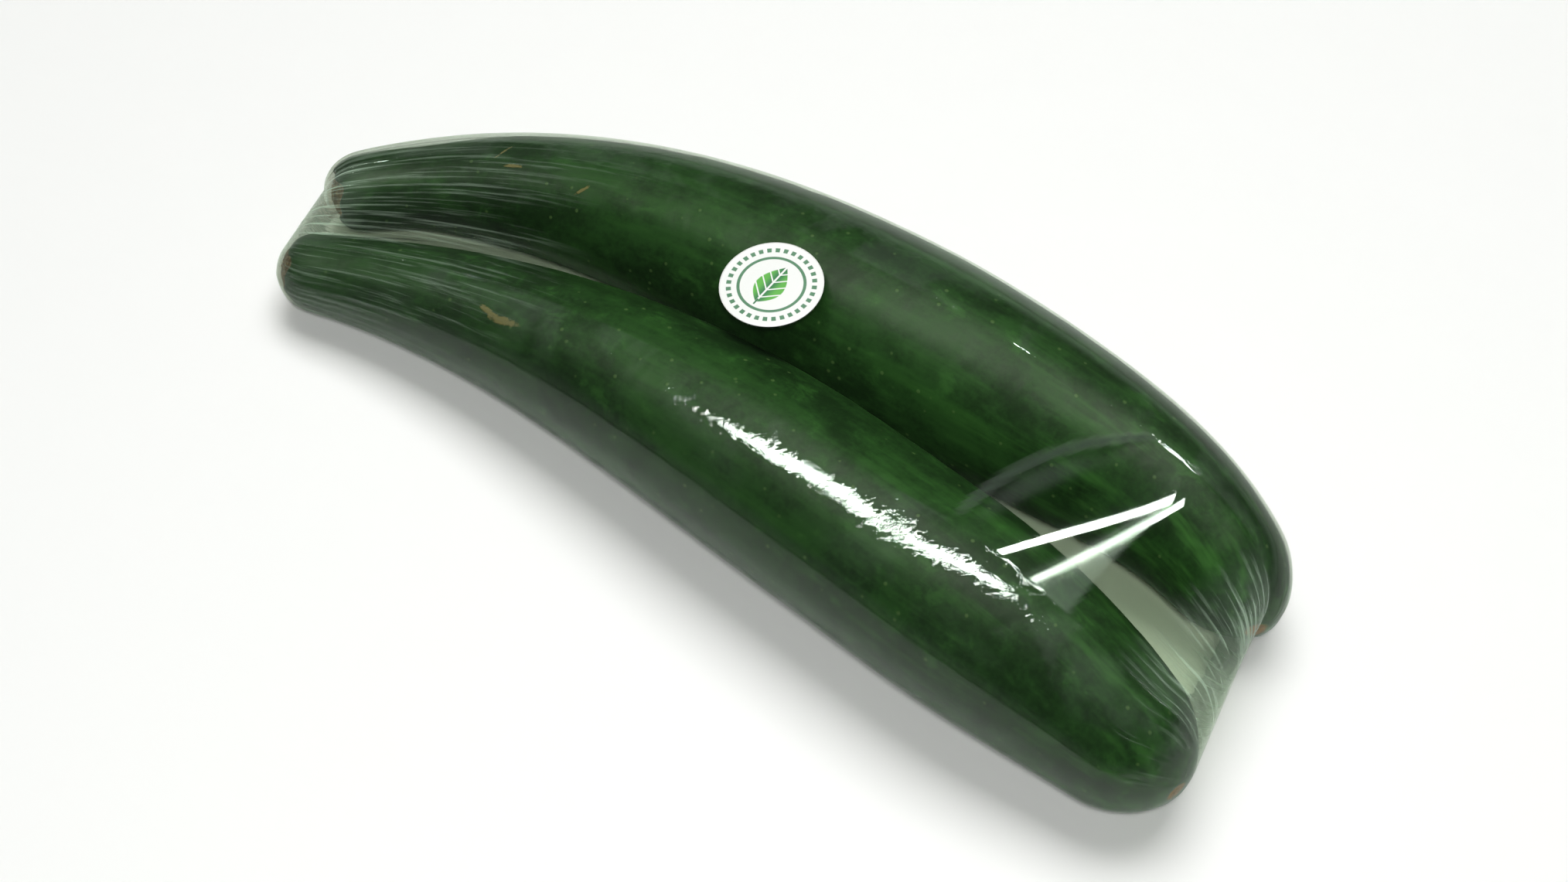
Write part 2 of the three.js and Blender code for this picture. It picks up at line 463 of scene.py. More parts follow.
def skin_piece(name, cucumber, seed, stem_scar, marks, material):
    """One cucumber's skin.

    Relief = faint lengthwise ridges and seeded waves, a swelling at the stem end with a waist after it,
    and a hollow at each pole. The marks are healed scratches: each is (distance along, turn, length,
    width, slant), and its strength is a bell over that distance and width.
    """
    along, roundness = cucumber.outline()
    turn = np.linspace(0, 2 * np.pi, SKIN_SIDES, endpoint=False)
    a, t = np.meshgrid(along, turn, indexing="ij")
    rest = cucumber.length - a
    body = rise(a, 0, 45 * MM) * rise(rest, 0, 30 * MM)
    ridges = 0.10 * MM * np.cos(7 * t + 9 * a + seed) + 0.05 * MM * np.cos(13 * t - 14 * a)
    relief = -SKIN_INSET + ridges * (0.4 + 0.6 * body)
    relief = relief + 0.10 * MM * waves(seed, 26, a, t, 60 * MM, 5)
    relief = relief + 0.045 * MM * waves(seed + 1, 60, a, t, 14 * MM, 26)
    relief = relief - 0.9 * MM * hump(a, 27 * MM, 12 * MM) * stem_scar
    ring = cucumber.radius(a) * roundness[:, None]
    rim = 8.6 * MM * (1 + 0.10 * np.sin(3 * t + seed) + 0.06 * np.sin(7 * t))
    cut = 1 - rise(ring, 0.75 * rim, rim)
    cork = cut * (a < 20 * MM)
    flower = (1 - rise(ring, 1.2 * MM, 4.6 * MM)) * (rest < 20 * MM)
    push = (1.3 * MM * stem_scar + 0.3 * MM) * cork - 0.9 * MM * flower
    rough = waves(seed + 2, 40, ring, t, 4 * MM, 9)
    push = push + 0.25 * MM * rough * (cork + flower)
    points = cucumber.rings(relief, push)
    scratch = np.zeros_like(a)
    for centre, angle_at, length, width, slant in marks:
        across = (np.angle(np.exp(1j * (t - angle_at))) * ring) - slant * (a - centre)
        scratch += hump(a, centre, length) * hump(across, 0, width)
    straight = np.stack([a, ring * np.cos(t), ring * np.sin(t)], -1)
    rows, columns = a.shape
    count = rows * columns
    faces = grid_faces(rows, columns)
    faces += pole_faces(0, columns, count, True)
    faces += pole_faces(count - columns, columns, count + 1, False)

    def with_poles(grid):
        """A grid's values in one row, then the means of its first and last rings for the poles."""
        flat = grid.reshape(count, *grid.shape[2:])
        return np.concatenate([flat, np.stack([grid[0].mean(0), grid[-1].mean(0)])])

    values = {
        "place": straight,
        "cork": cork,
        "flower": flower,
        "scratch": np.clip(scratch, 0, 1),
        "rest": rest,
    }
    values = {f"skin_{key}": with_poles(grid) for key, grid in values.items()}
    return mesh_piece(name, with_poles(points), faces, material, values)


def skin_material(name, finish, scar_tone, shift, streak):
    """Waxy dark green skin: mottling, lengthwise streaks towards the blossom end, pale specks, scars."""
    material = bpy.data.materials.new(name)
    g = Graph(material)
    raw = g.attribute("skin_place", "Vector")
    place = g.node("ShaderNodeVectorMath", {"operation": "ADD"}, {0: raw, 1: (shift, shift, shift)})
    cork, flower, scratch, rest = (
        g.attribute(f"skin_{part}") for part in ("cork", "flower", "scratch", "rest")
    )
    clouds = g.noise(g.scaled(place, (0.55, 1, 1)), 42, 4, 0.6, 0.6)
    blots = g.noise(g.scaled(place, (0.8, 1, 1)), 150, 5, 0.62, 0.3)
    streaks = g.noise(g.scaled(place, (0.07, 1, 1)), 230, 3, 0.6, 0.2)
    grain = g.noise(place, 760, 3, 0.65)
    near_tip = rest.step(0.13, 0.0)
    near_stem = rest.step(0.19, 0.26)
    dots, chosen = g.cells(place, 300)
    speck = dots.step(0.20, 0.08) * chosen.step(0.70, 0.76)
    large, large_chosen = g.cells(place, 62)
    blemish = (large + blots * 0.12).step(0.15, 0.09) * large_chosen.step(0.80, 0.84)
    shade = clouds * 0.45 + blots * 0.37 + grain * 0.18
    green = g.mix(shade.step(0.38, 0.58), finish.deep, finish.middle)
    light = (streaks * 0.6 + clouds * 0.4).step(0.47, 0.68) * (0.32 + near_tip * streak)
    green = g.mix(light, green, finish.fresh)
    green = g.mix(blots.step(0.57, 0.72) * 0.40, green, finish.fresh)
    green = g.mix(near_stem * 0.25, green, finish.deep)
    torn = (scratch * (0.2 + grain * 1.6) * (0.2 + blots * 1.7)).step(0.42, 0.75)
    marked = g.mix(speck * 0.40, green, (0.15, 0.25, 0.085))
    marked = g.mix(blemish * 0.42, marked, finish.scar)
    marked = g.mix(torn * 0.85, marked, finish.scar)
    woody = g.noise(place, 700, 4, 0.7)
    bark = g.mix(woody.step(0.35, 0.65), finish.cork, scar_tone)
    edge = (cork + (woody - 0.5) * 0.5).step(0.25, 0.6)
    marked = g.mix(edge, marked, bark)
    tip_edge = (flower + (woody - 0.5) * 0.6).step(0.2, 0.75)
    marked = g.mix(tip_edge, marked, g.mix(woody.step(0.4, 0.6), (0.36, 0.16, 0.035), (0.20, 0.11, 0.03)))
    dry = (edge + tip_edge + torn * 0.6).clamp()
    roughness = (0.42 + blots * 0.14 + dry * 0.40).clamp()
    height = grain * 0.22 + blots * 0.35 + speck * 0.25 + torn * 0.5 + woody * dry * 1.6
    shader = g.principled(
        Base_Color=marked,
        Roughness=roughness,
        Normal=g.bump(height, 0.00016, 0.8),
        Specular_IOR_Level=0.14,
    )
    g.surface(shader)
    return material


def as_rgb(finish):
    """The finish's colours as plain numbers."""
    values = {key: getattr(finish, key) for key in finish.__annotations__}
    return SimpleNamespace(**{key: tuple(value) for key, value in values.items() if hasattr(value, "r")})


class BuildCucumbers(Operator):
    """Adds the two cucumbers' skins."""

    bl_idname = "cucumber_pack.cucumbers"
    bl_label = "Cucumbers"

    def execute(self, context):
        pack = context.scene.cucumber_pack
        finish = as_rgb(pack.skin)
        front = Cucumber(pack.front, "cucumber_front")
        back = Cucumber(pack.back, "cucumber_back")
        front_marks = [
            (70 * MM, math.radians(62), 5 * MM, 1.3 * MM, 0.1),
            (64 * MM, math.radians(66), 3 * MM, 0.8 * MM, -0.2),
        ]
        back_marks = [
            (48 * MM, math.radians(98), 2.6 * MM, 0.5 * MM, 1.2),
            (52 * MM, math.radians(80), 3.4 * MM, 0.6 * MM, 0.0),
            (73 * MM, math.radians(66), 2.2 * MM, 0.8 * MM, 0.9),
        ]
        tan = (0.32, 0.21, 0.10)
        for name, cucumber, seed, scar, marks, streak in (
            ("front", front, 5, 0.25, front_marks, 0.45),
            ("back", back, 11, 1.0, back_marks, 0.80),
        ):
            material = skin_material(f"skin_{name}", finish, tan, seed * 0.37, streak)
            piece = skin_piece(f"skin_of_{name}_cucumber", cucumber, seed, scar, marks, material)
            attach(piece, "root")
            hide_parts(f"cucumber_{name}")
        return {"FINISHED"}


# ---- The film's shape ----

ARC = 96  # vertices of a loop that lie on one cucumber
BRIDGE = 60  # vertices of a loop between the cucumbers, above and again below
END_STATIONS = 26
BODY_STATIONS = 246
END_ZONE = 14 * MM  # stretch at each end where the loops close
END_TURN = 70 * MM  # stretch in which the front's cutting planes turn to the end of the bag
STEEPEST = 0.6
NO_ANGLE = -9.0  # marks the bridges among the arcs' angles
LEAD = (  # where a bridging line leaves the front cucumber and where it reaches the back one, along each
    (135 * MM, 140 * MM),
    (199 * MM, 238 * MM),
    (205 * MM, 245.5 * MM),
    (222 * MM, 250 * MM),
    (230 * MM, 254 * MM),
)


def plan_normal(turn):
    """The level direction at an angle from +X towards +Y."""
    return np.stack([np.cos(turn), np.sin(turn)], -1)


def touched(balls, turn, offset, outward):
    """Points of a row of balls, cut by upright planes, where a line facing an outward angle touches.

    A plane holds the points whose product with its level normal is the offset. It cuts a ball of radius
    r, a distance d away, in a disc of radius root(r * r - d * d). The disc that reaches furthest towards
    (cos angle along the plane, sin angle upwards) is the one touched. Planes by rows, angles by columns.
    """
    centres, radius = balls
    normal = plan_normal(turn)
    across = plan_normal(turn + np.pi / 2)
    away = normal @ centres[:, :2].T - offset[:, None]
    square = radius**2 - away**2
    disc = np.sqrt(np.maximum(square, 0))
    along = across @ centres[:, :2].T
    cosine, sine = np.cos(outward), np.sin(outward)
    reach = along[:, None, :] * cosine[..., None] + centres[:, 2] * sine[..., None] + disc[:, None, :]
    reach = np.where(square[:, None, :] > 0, reach, square[:, None, :] - 10)
    best = reach.argmax(-1)
    size = np.take_along_axis(disc, best, 1)
    level = np.take_along_axis(along, best, 1) + size * cosine
    plan = normal[:, None] * offset[:, None, None] + across[:, None] * level[..., None]
    return np.concatenate([plan, (centres[best, 2] + size * sine)[..., None]], -1)


def closing_turn(balls, pole, first, last, outward):
    """The plane normal's angle at which a plane that touches the balls from outside holds the pole."""
    centres, radius = balls
    turns = np.linspace(first, last, 1441)
    normal = plan_normal(turns)
    reach = (outward * (normal @ centres[:, :2].T) + radius).max(1)
    beyond = reach - outward * (normal @ pole[:2])
    return turns[np.argmax(beyond <= 0)]


class FilmShape:
    """The bag round both cucumbers, as loops that start on top of the front one and go round by its side.

    A loop is an arc on the front cucumber, a straight line underneath to the back one, an arc on that,
    and a straight line on top. Both cucumbers' arcs are cut by upright planes square to their axes. At
    the ends of the bag the front's planes turn until they hold the back's pole, so that the last loop
    is a single line between the two ends.
    """

    def __init__(self, front, back, margin):
        front_balls, back_balls = front.balls(margin), back.balls(margin)
        ends = {}
        for sign, place in ((-1, 0.0), (1, 1.0)):
            at_front, at_back = place * front.length, place * back.length
            turn_b = float(back.heading(np.array(at_back)))
            pole = back.axis(np.array(at_back))[:2] + sign * margin * plan_normal(turn_b)
            own = float(front.heading(np.array(at_front)))
            turn_f = closing_turn(front_balls, pole, own, own + sign * math.radians(75), sign)
            for key, cucumber, balls, turn, at in (
                ("front", front, front_balls, turn_f, at_front),
                ("back", back, back_balls, turn_b, at_back),
            ):
                normal = plan_normal(turn)
                reach = (sign * (balls[0][:, :2] @ normal) + balls[1]).max()
                start = cucumber.axis(np.array(at))[:2]
                ahead = plan_normal(float(cucumber.heading(np.array(at))))
                step = (sign * reach - normal @ start) / (normal @ ahead)
                ends[key, sign] = (at + step, turn)
        (first, turn_first), (last, turn_last) = ends["front", -1], ends["front", 1]
        quarter = np.linspace(0, np.pi / 2, END_STATIONS, endpoint=False)
        closing = END_ZONE * (1 - np.cos(quarter))
        body = np.linspace(first + END_ZONE, last - END_ZONE, BODY_STATIONS)
        self.front_at = np.concatenate([first + closing, body, (last - closing)[::-1]])
        knots = ((first, ends["back", -1][0]), *LEAD, (last, ends["back", 1][0]))
        back_at = np.interp(self.front_at, *zip(*knots))
        self.back_at = smooth(back_at, 0, 60)
        turn = front.heading(np.clip(self.front_at, 0, front.length))
        turn = turn + (turn_last - turn) * rise(self.front_at, last - END_TURN, last)
        turn = turn + (turn_first - turn) * rise(-self.front_at, -first - END_TURN, -first)
        planes = {
            "front": (front, front_balls, self.front_at, turn),
            "back": (back, back_balls, self.back_at, back.heading(self.back_at)),
        }
        self.cuts = {}
        for key, (cucumber, balls, at, turn) in planes.items():
            offset = (plan_normal(turn) * cucumber.axis(at)[:, :2]).sum(-1)
            steepness = np.gradient(cucumber.radius(np.clip(at, 0, cucumber.length)), at)
            self.cuts[key] = (balls, turn, offset, np.clip(steepness, -STEEPEST, STEEPEST))
        top = self.bridge_angles(np.pi / 2, 2 - END_LIFT)
        bottom = self.bridge_angles(-np.pi / 2, -END_LIFT)
        share = np.linspace(0, 1, ARC)
        front_arc = top["front"][:, None] + share * (
            bottom["front"] + 2 * np.pi - top["front"]
        )[:, None]
        back_arc = bottom["back"][:, None] + share * (top["back"] - bottom["back"])[:, None]
        on_front = touched(*self.cuts["front"][:3], front_arc)
        on_back = touched(*self.cuts["back"][:3], back_arc)
        on_front = smooth(smooth(on_front, 0, 4), 1, 3)
        on_back = smooth(smooth(on_back, 0, 4), 1, 3)
        along = np.linspace(0, 1, BRIDGE + 2)[1:-1][:, None]
        under = on_front[:, -1:] + (on_back[:, :1] - on_front[:, -1:]) * along
        over = on_back[:, -1:] + (on_front[:, :1] - on_back[:, -1:]) * along
        self.points = np.concatenate([on_front, under, on_back, over], 1)
        no_angle = np.full((len(front_arc), BRIDGE), NO_ANGLE)
        self.arc_angle = np.concatenate([front_arc, no_angle, back_arc, no_angle], 1)
        self.normals = grid_normals(self.points)

    def bridge_angles(self, start, rise_of_crest):
        """The angle at which a bridging line leaves each cucumber, so that it leaves it flush.

        The line's climb, less what the cucumber itself climbs along its axis, is the slope in the plane;
        the angle faces square to that slope.
        """
        count = len(self.front_at)
        angles = {key: np.full(count, start) for key in self.cuts}
        for _ in range(5):
            ends = {
                key: touched(*self.cuts[key][:3], angles[key][:, None])[:, 0] for key in self.cuts
            }
            line = ends["back"] - ends["front"]
            run = np.maximum(np.linalg.norm(line[:, :2], axis=1), 0.5 * MM)
            level = line[:, :2] / run[:, None]
            climb = np.clip(line[:, 2] / run, -STEEPEST, STEEPEST)
            for key, (_, turn, _, steepness) in self.cuts.items():
                lengthwise = (level * plan_normal(turn)).sum(-1)
                sideways = np.maximum((level * plan_normal(turn + np.pi / 2)).sum(-1), 0.35)
                slope = (climb - lengthwise * steepness * rise_of_crest) / sideways
                angles[key] = start + np.arctan(np.clip(smooth(slope, 0, 6), -1.2, 1.2))
        return angles


def grid_normals(points):
    """The outward direction at each vertex of the loops."""
    onward = np.gradient(points, axis=0)
    around = np.roll(points, -1, 1) - np.roll(points, 1, 1)
    normal = np.cross(around, onward)
    length = np.linalg.norm(normal, axis=-1, keepdims=True)
    return normal / np.maximum(length, 1e-12)


def random_creases(seed, count, across, along, reach, width, total):
    """Sharp folds that run lengthwise from an end and fade out: how high each vertex stands, 0 to 1.

    Each fold is a narrow bell across times a fade along, at a seeded place, length and width; a slow
    sine bends its path.
    """
    draw = np.random.default_rng(seed)
    height = np.zeros(np.broadcast_shapes(across.shape, along.shape))
    for place in draw.uniform(0, total, count):
        length = draw.uniform(*reach)
        bell_width = draw.uniform(*width)
        start = draw.uniform(-0.1, 0.25) * length
        path = place + draw.uniform(-1.6, 1.6) * MM * np.sin(along / length * draw.uniform(1.5, 4))
        fade = window(along, start - 3 * MM, start + 5 * MM, 0.45 * length, length)
        height = np.maximum(height, draw.uniform(0.35, 1) * fade * hump(across, path, bell_width))
    return height


UNDER = slice(ARC, ARC + BRIDGE)
BACK_ARC = slice(ARC + BRIDGE, 2 * ARC + BRIDGE)
OVER = slice(2 * ARC + BRIDGE, 2 * ARC + 2 * BRIDGE)
WEB_ONTO_FRONT = 14  # vertices of the front's arc that the creases of the hanging film run on to


def film_relief(shape, tallest):
    """How far each vertex of the film stands out, and the masks of its folds.

    Creases fan out lengthwise from both ends; one long fold bends over the front cucumber's shoulder and
    one follows the edge of the bridge at the back's neck; one fold crosses the bridge; the lap seam runs
    along the underside.
    """
    points = shape.points
    at = shape.front_at[:, None]
    from_stem = at - at[0]
    from_tip = at[-1] - at
    girth_row = int(np.argmin(np.abs(shape.front_at - 75 * MM)))
    steps = np.linalg.norm(np.roll(points[girth_row], -1, 0) - points[girth_row], axis=-1)
    across = np.concatenate([[0], np.cumsum(steps)[:-1]])[None, :]
    total = steps.sum()
    over, under, inner = np.zeros((3, 1, points.shape[1]))
    over[:, OVER] = under[:, UNDER] = inner[:, OVER] = inner[:, :WEB_ONTO_FRONT] = 1
    share = 0 * over
    share[0, OVER] = np.linspace(1, 0, BRIDGE)
    contact = 1 - over - under
    stem = random_creases(21, 88, across, from_stem, (28 * MM, 92 * MM), (0.45 * MM, 0.95 * MM), total)
    tip = random_creases(22, 46, across, from_tip, (10 * MM, 26 * MM), (0.6 * MM, 1.1 * MM), total)
    web = random_creases(23, 40, across, from_tip, (16 * MM, 40 * MM), (0.5 * MM, 0.9 * MM), total)
    tip = np.maximum(tip, web * inner)
    shoulder_at = across[0, 20] + 2.5 * MM * np.sin(from_stem / (14 * MM))
    shoulder = hump(across, shoulder_at, 0.7 * MM)
    shoulder = shoulder * window(from_stem, 4 * MM, 12 * MM, 48 * MM, 78 * MM)
    edge = hump(across, across[0, BACK_ARC.stop - 1], 0.7 * MM)
    edge = edge * window(from_stem, 3 * MM, 9 * MM, 50 * MM, 66 * MM)
    fold_at = 196 * MM - 20 * MM * share * (1 - share)
    fold = over * hump(at, fold_at, 0.6 * MM) * rise(share, 0.02, 0.2)
    dimple = over * hump(at, fold_at + 4.2 * MM, 1.6 * MM) * hump(share, 0.42, 0.2)
    past_middle = across - across[0, UNDER.start + BRIDGE // 2]
    seam = under * window(past_middle, -0.4 * MM, 0.4 * MM, 11 * MM, 12 * MM)
    creases = np.maximum(np.maximum(stem, tip), np.maximum(shoulder, edge))
    height = tallest * (np.maximum(creases, 0.10 * fold) - 0.10 * dimple) + 0.10 * MM * seam
    fan_end = (80 + 12 * np.sin(across / (5 * MM)) + 8 * np.sin(across / (2.1 * MM))) * MM
    fan = 1 - rise(from_stem, fan_end - 45 * MM, fan_end)
    # Painted reflection: a milky patch on the flat film of the top bridge, just past the mirrored lamps'
    # bands, narrowing and fading towards the back cucumber.
    veil_end = (231 - 13 * share) * MM
    veil = over * window(at, 216 * MM, 221 * MM, veil_end - 1.5 * MM, veil_end)
    veil = veil * (1 - rise(share, 0.55, 0.95))
    free = 2 - rise(from_tip, 8 * MM, 30 * MM) - rise(from_stem, 3 * MM, 22 * MM)
    facing = np.degrees(shape.arc_angle)
    crest = np.clip(contact * (hump(facing, 102, 26) + hump(facing, 80, 14)), 0, 1)
    masks = {
        "crease": np.maximum(creases, 0.75 * fan),
        # The fold's mask is also where the film's material paints shade on the fold and, more faintly, on
        # its dimple.
        "fold": fold + 0.2 * dimple,
        # The mask of the painted reflection on the top bridge.
        "veil": veil,
        "web": np.clip((over + under) * free, 0, 1),
        "contact": contact,
        "seam": seam,
        "crest": crest,
    }
    masks = {f"film_{name}": np.broadcast_to(mask, height.shape) for name, mask in masks.items()}
    place = np.stack(np.broadcast_arrays(at, across, 0.0), -1)
    closing = rise(from_stem, 0, 3 * MM) * rise(from_tip, 0, 3 * MM)
    return height * closing, masks, place


def film_material(finish):
    """Clear stretch film: see-through, glossy, with pale creases, a dark fold and patches of cling."""
    material = bpy.data.materials.new("film")
    g = Graph(material)
    place = g.attribute("film_place", "Vector")
    crease, fold, veil, web, contact, seam, crest = (
        g.attribute(f"film_{part}")
        for part in ("crease", "fold", "veil", "web", "contact", "seam", "crest")
    )
    spot = g.node("ShaderNodeTexCoord", output="Object")
    cling = g.noise(spot, 430, 3, 0.60, 0.5)
    patches = g.noise(spot, 34, 4, 0.6, 0.5)
    threads = g.noise(g.scaled(place, (0.05, 1, 1)), 620, 3, 0.65)
    wet = contact * patches.step(0.44, 0.58)
    bump_height = cling * crest * (0.45 + wet * 0.55) + threads * (crease * 0.8 + web * 1.0)
    normal = g.bump(bump_height, 0.00019, 1.0)
    gloss = g.node("ShaderNodeFresnel", inputs={"IOR": 1.5}) * 0.62 + 0.013
    # The milk is partly painted reflection (the patch on the top bridge); the creases, the hanging film
    # and the seam are the film's own paleness.
    milk = crease * (0.01 + threads.step(0.50, 0.66) * 0.20) + veil * (0.05 + patches * 0.12)
    milk = milk + web * (0.07 + threads.step(0.48, 0.68) * 0.42) + seam * 0.10
    milk = (milk + crest * patches.step(0.48, 0.60) * 0.025 + contact * 0.003).clamp()
    # Painted shade: the fold across the top bridge, and faintly its dimple, get a near-black green colour
    # that hides what lies behind.
    painted_fold_shade = (fold * 0.75).clamp()
    cover = (gloss + (1 - gloss) * (milk + painted_fold_shade).clamp()).clamp()
    metal = (1 - (milk + painted_fold_shade) / (milk + painted_fold_shade + gloss)).clamp()
    colour = g.mix(painted_fold_shade / (milk + painted_fold_shade + 0.001), finish.crease_colour, (0.01, 0.03, 0.012))
    colour = g.mix(metal, colour, (0.86, 0.97, 0.88))
    solid = g.principled(
        Base_Color=colour, Metallic=metal, Roughness=(0.03 + milk * 0.7).clamp(), Normal=normal
    )
    clear = g.node("ShaderNodeBsdfTransparent", inputs={"Color": opaque(finish.tint)})
    g.surface(g.node("ShaderNodeMixShader", inputs={0: cover, 1: clear, 2: solid}))
    return material


def film_shape(pack):
    """The film's shape round both cucumbers, without its relief."""
    front = Cucumber(pack.front, "cucumber_front")
    back = Cucumber(pack.back, "cucumber_back")
    return FilmShape(front, back, pack.film.margin)


def pack_film(pack):
    """The film with its relief: its points, its masks and its surface places."""
    shape = film_shape(pack)
    height, masks, place = film_relief(shape, pack.film.crease_height)
    return shape.points + shape.normals * height[..., None], masks, place


class BuildFilm(Operator):
    """Adds the clear film round both cucumbers."""

    bl_idname = "cucumber_pack.film"
    bl_label = "Film"

    def execute(self, context):
        pack = context.scene.cucumber_pack
        points, masks, place = pack_film(pack)
        rows, columns = points.shape[:2]
        faces = [face[::-1] for face in grid_faces(rows, columns)]
        values = {name: mask.ravel() for name, mask in masks.items()}
        values["film_place"] = place.reshape(-1, 3)
        material = film_material(as_rgb(pack.film))
        film = mesh_piece("stretch_film", points.reshape(-1, 3), faces, material, values)
        close_ends(film, points)
        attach(film, "root")
        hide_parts("wrap_film")
        return {"FINISHED"}


def close_ends(film, points):
    """Joins the two sides of the last loop at each end of the bag, where they meet."""
    mesh = film.data
    work = bmesh.new()
    work.from_mesh(mesh)
    work.verts.ensure_lookup_table()
    columns = points.shape[1]
    last = len(work.verts) - columns
    loops = list(work.verts[:columns]) + list(work.verts[last:])
    bmesh.ops.remove_doubles(work, verts=loops, dist=0.12 * MM)
    holes = [edge for edge in work.edges if edge.is_boundary]
    if holes:
        bmesh.ops.holes_fill(work, edges=holes, sides=0)
    work.to_mesh(mesh)
    work.free()
    mesh.polygons.foreach_set("use_smooth", np.ones(len(mesh.polygons), dtype=bool))


# ---- The label ----

LABEL_RINGS = 34
LABEL_SIDES = 128
LABEL_LIFT = 0.16 * MM  # from the film to the paper's underside


def label_points(film_points, centre, radius, lift):
    """Rings of points on the film's top: its height is a second-order surface fitted to the film there."""
    near = film_points.reshape(-1, 3)
    near = near[np.linalg.norm(near[:, :2] - centre, axis=1) < radius + 3 * MM]
    near = near[near[:, 2] > near[:, 2].max() - 12 * MM]

    def terms(x, y):
        x, y = (x - centre[0]) / MM, (y - centre[1]) / MM
        return np.stack([x * 0 + 1, x, y, x * x, x * y, y * y], -1)

    fitted = np.linalg.lstsq(terms(near[:, 0], near[:, 1]), near[:, 2], rcond=None)[0]
    gap = (near[:, 2] - terms(near[:, 0], near[:, 1]) @ fitted).max()
    ring = radius * np.linspace(0, 1, LABEL_RINGS + 1)[1:]
    turn = np.linspace(0, 2 * np.pi, LABEL_SIDES, endpoint=False)
    x = centre[0] + ring[:, None] * np.cos(turn)
    y = centre[1] + ring[:, None] * np.sin(turn)
    curl = 0.25 * MM * (ring[:, None] / radius) ** 8 * (1 + np.sin(turn - 0.6)) / 2
    return np.stack([x, y, terms(x, y) @ fitted + gap + lift + curl], -1)


def label_material(finish, centre, radius):
    """Coated paper with a thin ring, a border of dots and one leaf, all in one ink."""
    material = bpy.data.materials.new("label_paper")
    g = Graph(material)
    spot = g.node("ShaderNodeTexCoord", output="Object")
    turned = (0, 0, math.radians(-33))
    moved = g.node("ShaderNodeVectorMath", {"operation": "SUBTRACT"}, {0: spot, 1: (*centre, 0)})
    flat = g.node("ShaderNodeMapping", inputs={"Vector": moved, "Rotation": turned})
    sized = g.scaled(flat, (1 / radius, 1 / radius, 0))
    x = g.node("ShaderNodeSeparateXYZ", inputs={0: sized})
    y = Value(g, x.socket.node.outputs[1])
    away = g.node("ShaderNodeVectorMath", {"operation": "LENGTH"}, {0: sized}, output="Value")
    ring = away.step(0.600, 0.612) * away.step(0.672, 0.660)
    turn = y.math("ARCTAN2", y, x)
    beat = (turn * 32).math("SINE", turn * 32)
    dots = beat.step(-0.3, 0.1) * away.step(0.765, 0.78) * away.step(0.875, 0.86)
    lean = math.radians(52)
    along = x * math.cos(lean) + y * math.sin(lean)
    beside = y * math.cos(lean) - x * math.sin(lean)
    width = (1 - (along / 0.50) ** 2).clamp() * 0.30 * (1 + along * -0.5)
    side = beside.math("ABSOLUTE", beside)
    leaf = (width - side).step(0.0, 0.02)
    vein = side.step(0.012, 0.026)
    ribs = (along * 30 - side * 26).math("SINE", along * 30 - side * 26).step(0.93, 0.80)
    stalk = side.step(0.022, 0.012) * along.step(-0.56, -0.55) * along.step(-0.40, -0.42)
    leaf = (leaf * vein * ribs + stalk).clamp()
    paper_grain = g.noise(spot, 2600, 3, 0.6)
    paper = g.mix(paper_grain, tuple(0.96 * part for part in finish.paper), finish.paper)
    printed = g.mix((ring + dots).clamp() * (0.88 + paper_grain * 0.1), paper, finish.ink)
    printed = g.mix(leaf, printed, g.mix(side.step(0.0, 0.2), finish.ink, (0.10, 0.42, 0.05)))
    shader = g.principled(
        Base_Color=printed,
        Roughness=0.32 + paper_grain * 0.12,
        Normal=g.bump(paper_grain, 0.00004, 0.5),
    )
    g.surface(shader)
    return material


class BuildLabel(Operator):
    """Adds the round paper label on top of the film."""

    bl_idname = "cucumber_pack.label"
    bl_label = "Label"

    def execute(self, context):
        pack = context.scene.cucumber_pack
        film_points, _, _ = pack_film(pack)
        low, high = (np.array(corner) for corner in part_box("label_sticker"))
        centre = ((low + high) / 2)[:2]
        radius = pack.label.diameter / 2
        under = label_points(film_points, centre, radius, LABEL_LIFT)
        over = under + UP * pack.label.thickness
        loops = np.concatenate([over, under[::-1]])
        rows = len(loops)
        poles = [loops[0].mean(0), loops[-1].mean(0)]
        points = np.concatenate([loops.reshape(-1, 3), poles])
        count = rows * LABEL_SIDES
        faces = grid_faces(rows, LABEL_SIDES)
        faces += pole_faces(0, LABEL_SIDES, count, True)
        faces += pole_faces((rows - 1) * LABEL_SIDES, LABEL_SIDES, count + 1, False)
        material = label_material(as_rgb(pack.label), tuple(centre), radius)
        label = mesh_piece("round_label", points, faces, material)
        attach(label, "root")
        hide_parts("label_sticker")
        return {"FINISHED"}


# ---- The stage ----

TARGET = Vector((10.70, -11.55, 22.55)) * MM


def lit_from(point, normal, eye, away):
    """Where a lamp is seen from the eye mirrored in a surface with that normal."""
    view = (eye - point).normalized()
    return point + (2 * normal.dot(view) * normal - view) * away


def panel_lamp(name, place, target, long_way, size, radiance):
    """A flat rectangular lamp that faces the target, with its long side the given way."""
    lamp = bpy.data.lights.new(name, "AREA")
    lamp.shape = "RECTANGLE"
    lamp.size, lamp.size_y = size
    lamp.energy = radiance * math.pi * size[0] * size[1]
    holder = bpy.data.objects.new(name, lamp)
    bpy.context.scene.collection.objects.link(holder)
    facing = (place - target).normalized()
    right = (long_way - facing * long_way.dot(facing)).normalized()
    up = facing.cross(right)
    holder.rotation_mode = "QUATERNION"
    axes = np.array([right, up, facing]).T
    holder.rotation_quaternion = Matrix(axes.tolist()).to_quaternion()
    holder.location = place
    holder.visible_camera = False
    return holder


